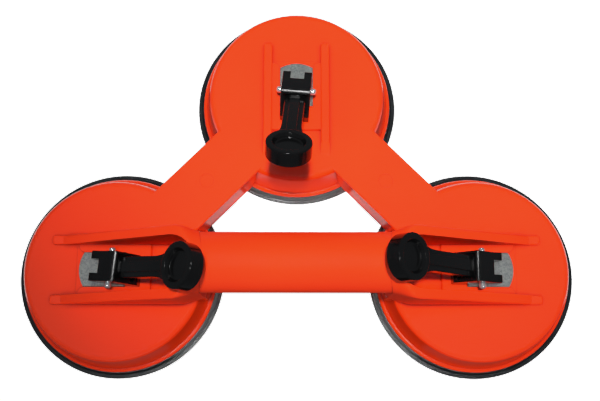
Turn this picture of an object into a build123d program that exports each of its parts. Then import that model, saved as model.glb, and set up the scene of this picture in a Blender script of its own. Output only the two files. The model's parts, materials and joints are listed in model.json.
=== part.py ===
from build123d import *
import os
from math import cos, radians, sin, sqrt

# Triple suction cup lifter, in millimetres, +Z up. The origin is on the floor, in the middle of the plan.
# Each cup has axes of its own: u runs outwards from its centre, v runs across and z is up.

# Depth by which a feature sinks into the body that carries it, and how near two points count as one
OVERLAP = 1.0
SAME_PLACE = 0.01

# Layout: two lower cups side by side, and the top cup ahead of them
CUP_SPACING = 207.0
TOP_CUP_OFFSET = 103.5

# Turn of each lever on its stem, seen from above, as the levers were left
LEVER_TURN = {"left": -5.4, "right": -0.5, "top": -4.5}

# Round housings
WALL = 3.0
ROOF_Z = 26.5
SHOULDER_R = 51.0
WALL_FOOT_R = 54.7
FLANGE_R = 56.9
FLANGE_TOP = 7.0
FLANGE_BOTTOM = 4.2
SHOULDER_ROUND = 3.5
FLANGE_ROUND = 1.6
GUIDE_R = 7.0
GUIDE_BOTTOM = 18.8
HOUSING_RIB_COUNT = 6
RIB_THICK = 2.0

# Straight arms from the lower cups to the top cup
ARM_WIDTH = 33.4
ARM_EDGE_ROUND = 0.8
ARM_RIB_SPACING = 22.0
EJECTOR_R = 4.2
EJECTOR_DEPTH = 0.2

# Grip bar
BAR_R = 16.3
BAR_Z = 54.0
BAR_SHIFT = 0.8
SEAM_Z = 53.0
SEAM_GAP = 0.2
LAP_THICK = 1.3
LAP_HEIGHT = 2.6
LAP_CLEARANCE = 0.1
COVER_RIB_SPACING = 30.0
COVER_RIB_TOP = 46.0

# Rails either side of each lever channel
CHANNEL_HALF = 14.3
RAIL_OUTER = 19.5
RAIL_START_U = 31.2
RAIL_SLOPE = 0.5615
RAIL_ROUND = 1.6
RAIL_TIP_ENDS = (20.0, 35.0)
RAIL_TIP_HEIGHT = 1.4
RAIL_TIP_SINK = 0.3
ROOT_STEP = 0.12
ROOT_STATIONS = 4
POCKET_CENTRE_U = -36.4
LOW_RAIL_HEIGHT = 2.0
LOW_RAIL_ENDS = (-36.2, 32.0)
LOW_RAIL_RAMP = 7.4

# Raised pad in the channel, with a recess for the wear plate
PAD_HEIGHT = 1.4
PAD_ENDS = (-21.8, 20.6)
PAD_RAMP = 0.7
PAD_BASE_HEIGHT = 0.4
PAD_STRIP_END = 19.5
PAD_CORNER = 4.0
PLATE_CLEARANCE = 0.25

# Steel wear plate
PLATE_THICK = 2.0
PLATE_HALF = 9.65
PLATE_INNER_U = -7.0
PLATE_SHOULDER_U = 16.4
PLATE_OUTER_U = 19.1
STEM_HOLE_R = 3.4

# Rubber cup
RUBBER_R = 60.0
RUBBER_SHELF_R = 57.4
RUBBER_SLOPE_FOOT = (59.0, 1.6)
RUBBER_LIP_INNER = 1.2
RUBBER_LIP = 0.9
RUBBER_HUB_R = 28.0
RUBBER_HUB_TOP = 12.8
RUBBER_HUB_FOOT_R = 32.0
SEAL_INNER_R = 46.0
DISH_DEPTH = 2.8
DISH_STEP_DEPTH = 2.2
SEAL_GROOVES = (49.5, 54.0)
GROOVE_WIDTH = 1.6
GROOVE_DEPTH = 0.9

# Backing disc and stem
DISC_R = 25.0
DISC_BOTTOM = 10.2
DISC_ROUND = 0.5
DISC_CLEARANCE = 0.3
STEM_R = 3.0
RIVET_R = 5.0
RIVET_HEIGHT = 1.6
EYE_R = 4.6
EYE_HALF = 3.1

# Pivot pin
PIN_R = 2.25
PIN_HALF = 10.9
PIN_END_ROUND = 1.1
PIN_FIT = 0.05

# Lever, drawn in the u, z plane about its pin
LIFT = 4.0
THROW = radians(90.0)
PIN_ABOVE_PLATE = 6.5
CAM_CLEARANCE = 0.15
CAM_STATIONS = 8
LEVER_HALF = 8.4
SLOT_HALF = 3.7
SLOT_BOTTOM_U = 5.5
EYE_CLEARANCE = 0.6
HEEL_U = -16.5
HEEL_TOP = 2.0
FOOT_ROUND = 2.0
TOE_TOP = 3.8
BROW_U = 6.0
BROW_Z = 5.3
RIDGE = (-3.8, 12.3)
RIDGE_FLAT = 1.4
CHEEK_POCKET = ((-14.6, 1.2), (-6.1, 7.4))
CHEEK_POCKET_SIDES = (2.4, 7.1)
ARM_ANGLE = 43.5
NECK_START = 6.0
NECK_HALF_START = 6.0
NECK_HALF_END = 5.6
NECK_END = 38.0
NECK_LOW = -3.9
NECK_HIGH = 2.2
RIB_HALF = 3.0
RIB_HIGH = 3.4
RIB_END = 55.0
FLARE_ROUND = 26.0
KNOB_CENTRE = 64.0
KNOB_R = 11.85
KNOB_HALF = 4.4
KNOB_ROUND = 0.8
DISH_R = 8.5
DISH_SINK = 2.8

# Worked out from the sizes above
PIN_Z = ROOF_Z + PLATE_THICK + PIN_ABOVE_PLATE
CAM_RISE = LIFT / THROW
ROOF_UNDER = ROOF_Z - WALL
HALF_DEPTH = TOP_CUP_OFFSET / 2
ROOT_END_U = -WALL_FOOT_R
TOP_OF_ALL = 120.0

CUPS = {
    "left": Pos(-CUP_SPACING / 2, -HALF_DEPTH, 0) * Rot(0, 0, 180),
    "right": Pos(CUP_SPACING / 2, -HALF_DEPTH, 0),
    "top": Pos(0, HALF_DEPTH, 0) * Rot(0, 0, 90),
}

# The two cups that carry the bar, with the side of their own v axis that +Y is on
LOWER_CUPS = {"left": -1, "right": 1}


def spun(*points):
    """Solid of revolution about Z from a closed outline of r, z points."""
    return revolve(make_face(Plane.XZ * Polyline(*points, close=True)), Axis.Z)


def block(u_ends, v_ends, z_ends):
    """Box between pairs of u, v and z."""
    size = [high - low for low, high in (u_ends, v_ends, z_ends)]
    centre = [(high + low) / 2 for low, high in (u_ends, v_ends, z_ends)]
    return Pos(*centre) * Box(*size)


def upright(radius, z_ends):
    """Cylinder about Z between two heights."""
    return Pos(0, 0, sum(z_ends) / 2) * Cylinder(radius, z_ends[1] - z_ends[0])


def sideways(points, v_ends):
    """Solid between two v from a closed outline of u, z points."""
    outline = Plane.XZ * make_face(Polyline(*points, close=True))
    return Pos(0, sum(v_ends) / 2, 0) * extrude(outline, (v_ends[1] - v_ends[0]) / 2, both=True)


def near(shape, places):
    """Corners of a flat outline that lie at the given places."""
    def at_one(corner):
        return any((corner.center() - Vector(*place)).length < SAME_PLACE for place in places)

    return [corner for corner in shape.vertices() if at_one(corner)]


def housing_outside():
    """Solid outer form of one housing: flat roof, conical wall and rounded flange."""
    outline = make_face(
        Polyline(
            (0, ROOF_Z),
            (SHOULDER_R, ROOF_Z),
            (WALL_FOOT_R, FLANGE_TOP),
            (FLANGE_R, FLANGE_TOP),
            (FLANGE_R, FLANGE_BOTTOM),
            (0, FLANGE_BOTTOM),
            close=True,
        )
    )
    outline = fillet(near(outline, [(SHOULDER_R, ROOF_Z)]), SHOULDER_ROUND)
    outline = fillet(near(outline, [(FLANGE_R, FLANGE_TOP)]), FLANGE_ROUND)
    return revolve(Plane.XZ * outline, Axis.Z)


def housing_hollow():
    """Space inside one housing."""
    return spun(
        (0, ROOF_UNDER),
        (SHOULDER_R - WALL, ROOF_UNDER),
        (WALL_FOOT_R - WALL, FLANGE_BOTTOM),
        (WALL_FOOT_R - WALL, 0),
        (0, 0),
    )


def housing_inside():
    """Guide for the stem and the ribs that stiffen the roof, all hanging below the roof."""
    heights = (GUIDE_BOTTOM, ROOF_UNDER + WALL / 2)
    inside = upright(GUIDE_R, heights)
    rib_reach = SHOULDER_R - WALL + RIB_THICK
    for step in range(HOUSING_RIB_COUNT):
        turn = Rot(0, 0, 360 / HOUSING_RIB_COUNT * (step + 0.5))
        inside += turn * block((0, rib_reach), (-RIB_THICK / 2, RIB_THICK / 2), heights)
    return inside


def arm_box(half_width, z_ends):
    """Straight box from the middle of one lower cup to the middle of the top cup, in the arm's own axes."""
    half_length = sqrt((CUP_SPACING / 2) ** 2 + TOP_CUP_OFFSET**2) / 2
    return block((-half_length, half_length), (-half_width, half_width), z_ends)


def arm_outside():
    """Outer form of one arm, with its long top edges rounded."""
    box = arm_box(ARM_WIDTH / 2, (FLANGE_BOTTOM, ROOF_Z))
    return fillet(box.edges().filter_by(Axis.X).group_by(Axis.Z)[-1], ARM_EDGE_ROUND)


def arm_hollow():
    """Open channel under one arm, between its cross ribs."""
    hollow = arm_box(ARM_WIDTH / 2 - WALL, (0, ROOF_UNDER))
    for offset in (-ARM_RIB_SPACING / 2, ARM_RIB_SPACING / 2):
        ends = (offset - RIB_THICK / 2, offset + RIB_THICK / 2)
        hollow -= block(ends, (-ARM_WIDTH, ARM_WIDTH), (FLANGE_TOP, ROOF_Z))
    return hollow


def rail_top(u):
    """Height of the rails at u: a straight ramp that eases into the crown of the bar."""
    crown = BAR_Z + BAR_R
    meet = RAIL_START_U - (crown - ROOF_Z) / RAIL_SLOPE
    ease = meet - ROOT_END_U
    if u > meet + ease:
        return ROOF_Z + RAIL_SLOPE * (RAIL_START_U - u)
    return crown - RAIL_SLOPE * (u - ROOT_END_U) ** 2 / (4 * ease)


def root_section(u, bottom, blend, shift):
    """Cross section of a rail root at u. Blend runs from 0, flat topped, to 1, round like the bar."""
    ease = blend * blend * (3 - 2 * blend)
    half = RAIL_OUTER + (BAR_R + ROOT_STEP - RAIL_OUTER) * ease
    corner = RAIL_ROUND + (BAR_R - RAIL_ROUND) * ease
    top = rail_top(u) + ROOT_STEP * ease
    outline = make_face(Polyline((-half, bottom), (half, bottom), (half, top), (-half, top), close=True))
    outline = fillet(near(outline, [(half, top), (-half, top)]), corner)
    return Plane(origin=(u, shift * ease, 0), x_dir=(0, 1, 0), z_dir=(1, 0, 0)) * outline


def tall_rails(shift):
    """Rails of a lower cup: they climb from their low tips and flow into the bar, shifted along v."""
    crown = BAR_Z + BAR_R
    meet = RAIL_START_U - (crown - ROOF_Z) / RAIL_SLOPE
    ramp_end = meet + (meet - ROOT_END_U)
    ramp_bottom = ROOF_Z - WALL / 2
    ramp_start = RAIL_START_U - (RAIL_TIP_HEIGHT - RAIL_TIP_SINK) / RAIL_SLOPE
    ramp = loft([root_section(u, ramp_bottom, 0, 0) for u in (ramp_end, ramp_start)], ruled=True)
    blends = [step / ROOT_STATIONS for step in range(ROOT_STATIONS + 1)]
    stations = [ramp_end + (ROOT_END_U - ramp_end) * blend for blend in blends]
    root = loft([root_section(u, FLANGE_TOP - OVERLAP, blend, shift) for u, blend in zip(stations, blends)])
    root &= upright(WALL_FOOT_R, (0, TOP_OF_ALL))
    return ramp + root


def channel(z_ends):
    """Lever channel of a lower cup: straight sides and a round inner end."""
    straight = block((POCKET_CENTRE_U, RAIL_START_U + WALL), (-CHANNEL_HALF, CHANNEL_HALF), z_ends)
    return straight + Pos(POCKET_CENTRE_U, 0, 0) * upright(CHANNEL_HALF, z_ends)


def low_rails(u_ends, ramp, height):
    """Two low straight ribs beside a channel, rounded at the outer end and ramped at the inner end."""
    low, top = ROOF_UNDER + OVERLAP, ROOF_Z + height
    inner, outer = u_ends
    points = [(inner, low), (inner, ROOF_Z), (inner + ramp, top), (outer, top), (outer, low)]
    rails = None
    for side in (-1, 1):
        rail = sideways(points, sorted((side * CHANNEL_HALF, side * RAIL_OUTER)))
        rail = fillet(rail.edges().filter_by(Axis.Z).group_by(Axis.X)[-1], RAIL_ROUND)
        top_edges = rail.faces().sort_by(Axis.Z)[-1].edges()
        rounded = [edge for edge in top_edges if edge.center().X > inner + ramp + SAME_PLACE]
        rail = fillet(rounded, ARM_EDGE_ROUND)
        rails = rail if rails is None else rails + rail
    return rails


def plate_outline(grow):
    """Outline of the wear plate, made larger all round by grow."""
    half = PLATE_HALF + grow
    shoulder = PLATE_SHOULDER_U + grow / 2
    inner = PLATE_INNER_U - grow
    path = Polyline((shoulder, -half), (inner, -half), (inner, half), (shoulder, half))
    end = ThreePointArc((shoulder, half), (PLATE_OUTER_U + grow, 0), (shoulder, -half))
    return make_face([*path.edges(), end])


def pad():
    """Raised pad in the channel: ramped at its inner end, with a strip along each side of the wear plate."""
    half = CHANNEL_HALF + OVERLAP
    low, top = ROOF_UNDER + OVERLAP, ROOF_Z + PAD_HEIGHT
    inner, outer = PAD_ENDS
    ramp = [(inner, low), (inner, ROOF_Z), (inner + PAD_RAMP, top)]
    strips = sideways([*ramp, (PAD_STRIP_END, top), (PAD_STRIP_END, low)], (-half, half))
    gap = PLATE_HALF + PLATE_CLEARANCE
    strips -= block((0, outer), (-gap, gap), (low, top + OVERLAP))
    corners = [e for e in strips.edges().filter_by(Axis.Z) if e.center().X > PAD_STRIP_END - SAME_PLACE]
    strips = fillet([corner for corner in corners if abs(corner.center().Y) < half - SAME_PLACE], PAD_CORNER)
    base = block((inner + PAD_RAMP, outer), (-half, half), (low, ROOF_Z + PAD_BASE_HEIGHT))
    recess = extrude(Pos(0, 0, ROOF_Z) * plate_outline(PLATE_CLEARANCE), PLATE_THICK)
    return strips + base - recess


def bar_rod(radius):
    """Solid rod along the middle of the bar, from cup to cup."""
    return Pos(0, BAR_SHIFT - HALF_DEPTH, BAR_Z) * Rot(0, 90, 0) * Cylinder(radius, CUP_SPACING)


def bar_slice(z_ends):
    """Box round the whole bar between two heights."""
    middle = BAR_SHIFT - HALF_DEPTH
    sides = (middle - BAR_R, middle + BAR_R)
    return block((-CUP_SPACING / 2, CUP_SPACING / 2), sides, z_ends)


def half_bar():
    """Upper half of the hollow grip bar."""
    return (bar_rod(BAR_R) - bar_rod(BAR_R - WALL)) & bar_slice((SEAM_Z, TOP_OF_ALL))


def between_roots(shape, end_radius):
    """Cut the ends off a bar piece by upright cylinders about the two lower cups."""
    for cup in LOWER_CUPS:
        shape -= CUPS[cup] * upright(end_radius, (0, TOP_OF_ALL))
    return shape


def arm_places():
    """Middle and direction of the two arms."""
    for side, turn in ((-1, 45), (1, 135)):
        yield Pos(side * CUP_SPACING / 4, 0, 0) * Rot(0, 0, turn)


def make_frame():
    """The whole orange moulding: housings, arms, rails, pads and the upper half of the bar."""
    housings = [place * housing_outside() for place in CUPS.values()]
    frame = housings[0] + housings[1:]
    arms = None
    for place in arm_places():
        arm_space = place * arm_hollow()
        for housing in housings:
            arm_space -= housing
        arm = place * arm_outside() - arm_space
        arm -= place * upright(EJECTOR_R, (ROOF_Z - EJECTOR_DEPTH, ROOF_Z + OVERLAP))
        arms = arm if arms is None else arms + arm
    frame += arms
    frame += between_roots(half_bar(), WALL_FOOT_R - WALL)
    for cup, side in LOWER_CUPS.items():
        frame += CUPS[cup] * tall_rails(side * BAR_SHIFT)
        frame -= CUPS[cup] * channel((ROOF_Z, TOP_OF_ALL))
        frame += CUPS[cup] * low_rails(RAIL_TIP_ENDS, 0, RAIL_TIP_HEIGHT)
    frame += CUPS["top"] * low_rails(LOW_RAIL_ENDS, LOW_RAIL_RAMP, LOW_RAIL_HEIGHT)
    for place in CUPS.values():
        frame += place * pad()
        frame -= place * housing_hollow()
        frame += place * housing_inside()
        frame -= place * upright(STEM_HOLE_R, (0, ROOF_Z + PLATE_THICK))
    return frame


def make_grip_cover():
    """Underside half of the grip bar: a trough with cross ribs and a lap that tucks inside the upper half."""
    bore_r = BAR_R - WALL
    lap_outer_r = bore_r - LAP_CLEARANCE
    lap_inner = bar_rod(lap_outer_r - LAP_THICK)
    seam = SEAM_Z - SEAM_GAP
    cover = (bar_rod(BAR_R) - bar_rod(bore_r)) & bar_slice((0, seam))
    cover += (bar_rod(bore_r + WALL / 2) - lap_inner) & bar_slice((seam - LAP_HEIGHT, seam))
    cover += (bar_rod(lap_outer_r) - lap_inner) & bar_slice((seam - LAP_HEIGHT, seam + LAP_HEIGHT))
    for offset in (-COVER_RIB_SPACING, 0, COVER_RIB_SPACING):
        rib = bar_rod(bore_r + WALL / 2) & bar_slice((0, COVER_RIB_TOP))
        cover += rib & block((offset - RIB_THICK / 2, offset + RIB_THICK / 2), (-CUP_SPACING, 0), (0, BAR_Z))
    return between_roots(cover, WALL_FOOT_R + LAP_CLEARANCE)


def make_rubber_cup():
    """Rubber cup: sloping rim, shelf under the flange, hub recessed for the disc, and a dished underside."""
    recess_r = DISC_R + DISC_CLEARANCE
    cup = spun(
        (0, DISC_BOTTOM),
        (recess_r, DISC_BOTTOM),
        (recess_r, RUBBER_HUB_TOP),
        (RUBBER_HUB_R, RUBBER_HUB_TOP),
        (RUBBER_HUB_FOOT_R, FLANGE_BOTTOM),
        (RUBBER_SHELF_R, FLANGE_BOTTOM),
        RUBBER_SLOPE_FOOT,
        (RUBBER_SLOPE_FOOT[0], RUBBER_LIP_INNER),
        (RUBBER_R, RUBBER_LIP),
        (RUBBER_R, 0),
        (SEAL_INNER_R, 0),
        (RUBBER_HUB_R, DISH_STEP_DEPTH),
        (0, DISH_DEPTH),
    )
    for radius in SEAL_GROOVES:
        heights = (-OVERLAP, GROOVE_DEPTH)
        cup -= upright(radius + GROOVE_WIDTH, heights) - upright(radius, heights)
    return cup - upright(RIVET_R + DISC_CLEARANCE, (DISC_BOTTOM - RIVET_HEIGHT, DISC_BOTTOM))


def make_backing_disc():
    """Steel disc that lies in the recess of the rubber hub, with the stem's hole."""
    disc = upright(DISC_R, (DISC_BOTTOM, RUBBER_HUB_TOP))
    disc = fillet(disc.faces().sort_by(Axis.Z)[-1].edges(), DISC_ROUND)
    return disc - upright(STEM_R, (0, TOP_OF_ALL))


def make_stem():
    """Round stem with a rivet head under the disc and a flat eye round the pivot pin."""
    stem = upright(STEM_R, (DISC_BOTTOM, PIN_Z))
    stem += upright(RIVET_R, (DISC_BOTTOM - RIVET_HEIGHT, DISC_BOTTOM))
    across = Pos(0, 0, PIN_Z) * Rot(90, 0, 0)
    stem += across * Cylinder(EYE_R, 2 * EYE_HALF)
    return stem - across * Cylinder(PIN_R + PIN_FIT, 4 * EYE_HALF)


def make_wear_plate():
    """Steel plate under the lever's foot, with the stem's hole."""
    plate = extrude(Pos(0, 0, ROOF_Z) * plate_outline(0), PLATE_THICK)
    return plate - upright(STEM_HOLE_R, (0, TOP_OF_ALL))


def make_pivot_pin():
    """Pin across the lever, with rounded ends."""
    pin = fillet(Cylinder(PIN_R, 2 * PIN_HALF).edges().filter_by(GeomType.CIRCLE), PIN_END_ROUND)
    return Pos(0, 0, PIN_Z) * Rot(90, 0, 0) * pin


def cam_point(angle):
    """Point of the toe that bears on the plate when the lever has turned by angle, with an even rise."""
    reach = PIN_ABOVE_PLATE - CAM_CLEARANCE + CAM_RISE * angle
    u = reach * sin(angle) + CAM_RISE * cos(angle)
    z = -reach * cos(angle) + CAM_RISE * sin(angle)
    return (u, z)


def lever_foot():
    """Foot of the lever: flat heel, cam toe, sloping brow and ridge, slotted for the stem."""
    cam = Spline(*[cam_point(THROW * step / CAM_STATIONS) for step in range(CAM_STATIONS + 1)])
    heel_bottom = cam_point(0)[1]
    toe_end = cam_point(THROW)
    rest = Polyline(
        toe_end,
        (toe_end[0], TOE_TOP),
        (BROW_U, BROW_Z),
        RIDGE,
        (RIDGE[0] - RIDGE_FLAT, RIDGE[1]),
        (HEEL_U, HEEL_TOP),
        (HEEL_U, heel_bottom),
        cam_point(0),
    )
    side = Plane.XZ * make_face([cam, *rest.edges()])
    foot = extrude(side, LEVER_HALF, both=True)
    foot = fillet(foot.edges().filter_by(Axis.X).group_by(Axis.Z)[0], FOOT_ROUND)
    slot = (-SLOT_HALF, SLOT_HALF)
    stem_side = STEM_R + EYE_CLEARANCE
    foot -= block((-stem_side, 2 * PIN_HALF), slot, (-2 * PIN_HALF, stem_side))
    foot -= block((SLOT_BOTTOM_U, 2 * PIN_HALF), slot, (-2 * PIN_HALF, 2 * PIN_HALF))
    foot -= Rot(90, 0, 0) * Cylinder(EYE_R + EYE_CLEARANCE, 2 * SLOT_HALF)
    heel_end, ridge_end = CHEEK_POCKET
    above = 2 * RIDGE[1]
    for side in (-1, 1):
        v_ends = sorted(side * v for v in CHEEK_POCKET_SIDES)
        foot -= sideways([heel_end, ridge_end, (ridge_end[0], above), (heel_end[0], above)], v_ends)
    return foot


def lever_arm():
    """Arm and dished knob, drawn along the arm and then raised to its angle."""
    neck = Polyline(
        (NECK_START, -NECK_HALF_START),
        (NECK_END, -NECK_HALF_END),
        (KNOB_CENTRE, -NECK_HALF_END),
        (KNOB_CENTRE, NECK_HALF_END),
        (NECK_END, NECK_HALF_END),
        (NECK_START, NECK_HALF_START),
        close=True,
    )
    outline = make_face(neck) + Pos(KNOB_CENTRE, 0) * Circle(KNOB_R - KNOB_ROUND)
    inner = [c for c in outline.vertices() if NECK_END < c.X < KNOB_CENTRE]
    outline = fillet(inner, FLARE_ROUND)
    arm = extrude(Pos(0, 0, NECK_LOW) * outline, NECK_HIGH - NECK_LOW)
    arm &= block((NECK_START, KNOB_CENTRE), (-KNOB_R, KNOB_R), (NECK_LOW, NECK_HIGH))
    arm += block((NECK_START, RIB_END), (-RIB_HALF, RIB_HALF), (NECK_HIGH - OVERLAP, RIB_HIGH))
    knob = Cylinder(KNOB_R, 2 * KNOB_HALF)
    arm += Pos(KNOB_CENTRE, 0, 0) * fillet(knob.edges().filter_by(GeomType.CIRCLE), KNOB_ROUND)
    dish_sphere = (DISH_R**2 + DISH_SINK**2) / (2 * DISH_SINK)
    arm -= Pos(KNOB_CENTRE, 0, KNOB_HALF - DISH_SINK + dish_sphere) * Sphere(dish_sphere)
    return Rot(0, ARM_ANGLE - 180, 0) * Rot(180, 0, 0) * arm


def make_lever():
    """Whole lever on its pin."""
    lever = lever_foot() + lever_arm()
    lever -= Rot(90, 0, 0) * Cylinder(PIN_R + PIN_FIT, 4 * LEVER_HALF)
    return Pos(0, 0, PIN_Z) * lever


def save(name, shape):
    """Write one node's file."""
    export_step(shape, f"parts/{name}.step")


def main():
    os.makedirs("parts", exist_ok=True)
    save("frame", make_frame())
    save("grip_cover", make_grip_cover())
    fixed = {
        "rubber_cup": make_rubber_cup(),
        "backing_disc": make_backing_disc(),
        "wear_plate": make_wear_plate(),
    }
    turned = {"stem": make_stem(), "pivot_pin": make_pivot_pin(), "lever": make_lever()}
    for cup, place in CUPS.items():
        for name, shape in fixed.items():
            save(f"{name}_{cup}", place * shape)
        for name, shape in turned.items():
            save(f"{name}_{cup}", place * Rot(0, 0, LEVER_TURN[cup]) * shape)


main()
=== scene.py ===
"""Looks of a triple suction cup lifter: its finishes, modelled pieces, studio light and camera."""
import json
import logging
from collections.abc import Iterator, Sequence
from contextlib import contextmanager
from dataclasses import dataclass
from enum import Enum
from math import atan2, cos, pi, radians, sin, sqrt

import bmesh
import bpy
from mathutils import Matrix, Vector


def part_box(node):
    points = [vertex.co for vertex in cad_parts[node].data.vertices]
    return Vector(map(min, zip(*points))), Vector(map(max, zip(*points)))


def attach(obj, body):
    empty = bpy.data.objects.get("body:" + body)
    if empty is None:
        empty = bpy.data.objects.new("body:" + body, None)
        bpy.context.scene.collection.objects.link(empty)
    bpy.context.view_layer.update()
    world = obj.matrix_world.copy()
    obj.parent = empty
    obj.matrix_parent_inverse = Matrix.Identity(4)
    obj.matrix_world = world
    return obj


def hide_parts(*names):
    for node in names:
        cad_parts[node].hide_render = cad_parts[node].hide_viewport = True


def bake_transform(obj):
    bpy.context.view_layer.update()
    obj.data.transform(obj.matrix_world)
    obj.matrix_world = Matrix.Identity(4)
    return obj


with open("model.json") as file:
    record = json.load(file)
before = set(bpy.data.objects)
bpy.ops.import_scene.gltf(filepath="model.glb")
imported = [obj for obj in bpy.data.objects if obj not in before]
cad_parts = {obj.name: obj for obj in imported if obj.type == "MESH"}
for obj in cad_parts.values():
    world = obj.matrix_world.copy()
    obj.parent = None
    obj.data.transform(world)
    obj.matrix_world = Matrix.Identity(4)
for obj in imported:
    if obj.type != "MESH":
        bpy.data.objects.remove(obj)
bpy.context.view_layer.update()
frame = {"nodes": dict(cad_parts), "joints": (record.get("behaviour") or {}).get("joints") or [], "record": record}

log = logging.getLogger("lifter")

Colour = tuple[float, float, float]
Point = tuple[float, float, float]
Pair = tuple[float, float]
MM = 0.001
MERGE = 0.001 * MM
NO_COLOUR = (0.0, 0.0, 0.0)
WHITE = (1.0, 1.0, 1.0)


class Slot(Enum):
    """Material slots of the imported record."""

    BODY = "body_plastic"
    LEVER = "lever_plastic"
    RUBBER = "cup_rubber"
    ZINC = "galvanised_steel"
    STEEL = "plain_steel"


class Mode(Enum):
    """Ways in which one piece is cut by or joined to another."""

    CUT = "DIFFERENCE"
    JOIN = "UNION"


class Wire:
    """Output of a shader node that can be used in Python sums."""

    def __init__(self, bench: "ShaderBench", socket: bpy.types.NodeSocket) -> None:
        """Wrap one socket of a bench's tree."""
        self.bench = bench
        self.socket = socket

    def __add__(self, other: "Wire | float") -> "Wire":
        """Sum of two values."""
        return self.bench.maths("ADD", self, other)

    def __radd__(self, other: float) -> "Wire":
        """Sum with a number on the left."""
        return self.bench.maths("ADD", other, self)

    def __sub__(self, other: "Wire | float") -> "Wire":
        """Difference of two values."""
        return self.bench.maths("SUBTRACT", self, other)

    def __rsub__(self, other: float) -> "Wire":
        """Difference with a number on the left."""
        return self.bench.maths("SUBTRACT", other, self)

    def __mul__(self, other: "Wire | float") -> "Wire":
        """Product of two values."""
        return self.bench.maths("MULTIPLY", self, other)

    def __rmul__(self, other: float) -> "Wire":
        """Product with a number on the left."""
        return self.bench.maths("MULTIPLY", other, self)


class ShaderBench:
    """Node tree of one material, or of the world."""

    edge_samples = 6
    edge_cosines = (1.0, 0.86)
    # Samples and openness range of the painted shade in inner corners.
    corner_shade_samples = 8
    corner_shade_openness = (0.95, 0.5)
    colour_outlet = 2

    def __init__(self, owner: bpy.types.Material | bpy.types.World) -> None:
        """Start an empty tree.

        Args:
            owner: What the tree belongs to.
        """
        owner.use_nodes = True
        self.owner = owner
        self.tree = owner.node_tree
        self.tree.nodes.clear()

    @classmethod
    def of_material(cls, name: str) -> "ShaderBench":
        """Start the tree of a new material."""
        return cls(bpy.data.materials.new(name))

    def node(
        self, kind: str, settings: dict | None = None, outlet: str | int = 0, **inputs: object
    ) -> Wire:
        """Add any node.

        Args:
            kind: Node type without its ShaderNode prefix.
            settings: Properties set first.
            outlet: Name or index of the output that is wanted.
            inputs: Values or wires for sockets, named with _ for spaces or numbered as _0, _1.

        Returns:
            The wanted output.
        """
        made = self.tree.nodes.new(f"ShaderNode{kind}")
        for key, value in (settings or {}).items():
            setattr(made, key, value)
        for key, value in inputs.items():
            self._plug(made, key, value)
        return Wire(self, made.outputs[outlet])

    def _plug(self, made: bpy.types.Node, key: str, value: object) -> None:
        """Set or link one input.

        Args:
            made: The node.
            key: Name of the socket with _ for spaces, or its number as _0, _1.
            value: A wire to link, or a value to set.
        """
        number = key[1:]
        socket = made.inputs[int(number) if number.isdigit() else key.replace("_", " ")]
        if isinstance(value, Wire):
            self.tree.links.new(value.socket, socket)
        elif isinstance(value, tuple) and socket.type == "RGBA":
            socket.default_value = (*value, 1.0)
        else:
            socket.default_value = value

    def maths(self, operation: str, first: Wire | float, second: Wire | float) -> Wire:
        """Value worked out from two others."""
        return self.node("Math", {"operation": operation}, _0=first, _1=second)

    def place(self) -> Wire:
        """Object coordinates, which are the part's own metres."""
        return self.node("TexCoord", outlet="Object")

    def noise(self, grain: float, detail: float = 3.0, place: Wire | None = None) -> Wire:
        """Cloudy pattern from 0 to 1, with a grain in metres."""
        where = place or self.place()
        return self.node("TexNoise", Vector=where, Scale=1 / grain, Detail=detail)

    def between(
        self, value: Wire, low: float, high: float, to_low: float = 0.0, to_high: float = 1.0
    ) -> Wire:
        """Value spread from one range to another, held at its ends."""
        ends = {"_1": low, "_2": high, "_3": to_low, "_4": to_high}
        return self.node("MapRange", {"clamp": True}, _0=value, **ends)

    def mix(self, share: Wire | float, first: Wire | Colour, second: Wire | Colour) -> Wire:
        """Colour between two others."""
        inputs = {"_0": share, "_6": first, "_7": second}
        return self.node("Mix", {"data_type": "RGBA"}, self.colour_outlet, **inputs)

    def rounded_normal(self, radius: float) -> Wire:
        """Normal that runs smoothly over sharp edges."""
        return self.node("Bevel", {"samples": self.edge_samples}, Radius=radius)

    def edges(self, radius: float) -> Wire:
        """Mask that is 1 along edges and 0 on flats, used to paint a highlight along them.

        Args:
            radius: How far the mask reaches from an edge.

        Returns:
            The mask.
        """
        flat = self.node("NewGeometry", outlet="Normal")
        dot = {"operation": "DOT_PRODUCT"}
        same = self.node("VectorMath", dot, "Value", _0=self.rounded_normal(radius), _1=flat)
        return self.between(same, *self.edge_cosines)

    def corner_shade_mask(self, reach: float) -> Wire:
        """Mask of painted shade that is 1 in inner corners and 0 on open flats.

        Args:
            reach: How far off a wall still counts.

        Returns:
            The mask.
        """
        local = {"samples": self.corner_shade_samples, "only_local": True}
        openness = self.node("AmbientOcclusion", local, "AO", Distance=reach)
        return self.between(openness, *self.corner_shade_openness)

    def bump(self, height: Wire, depth: float, normal: Wire | None = None) -> Wire:
        """Normal of a surface with small heights on it, where 1 stands for a depth in metres."""
        extra = {"Normal": normal} if normal else {}
        return self.node("Bump", Height=height, Distance=depth, Strength=1.0, **extra)

    def surface(self, **inputs: object) -> bpy.types.Material:
        """Close a material's tree with a Principled surface."""
        self._close(self.node("BsdfPrincipled", **inputs), "Material")
        return self.owner

    def sky(self, **inputs: object) -> bpy.types.World:
        """Close a world's tree with a background."""
        self._close(self.node("Background", **inputs), "World")
        return self.owner

    def _close(self, shader: Wire, kind: str) -> None:
        """Link a shader to the tree's output."""
        output = self.tree.nodes.new(f"ShaderNodeOutput{kind}")
        self.tree.links.new(shader.socket, output.inputs["Surface"])


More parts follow.
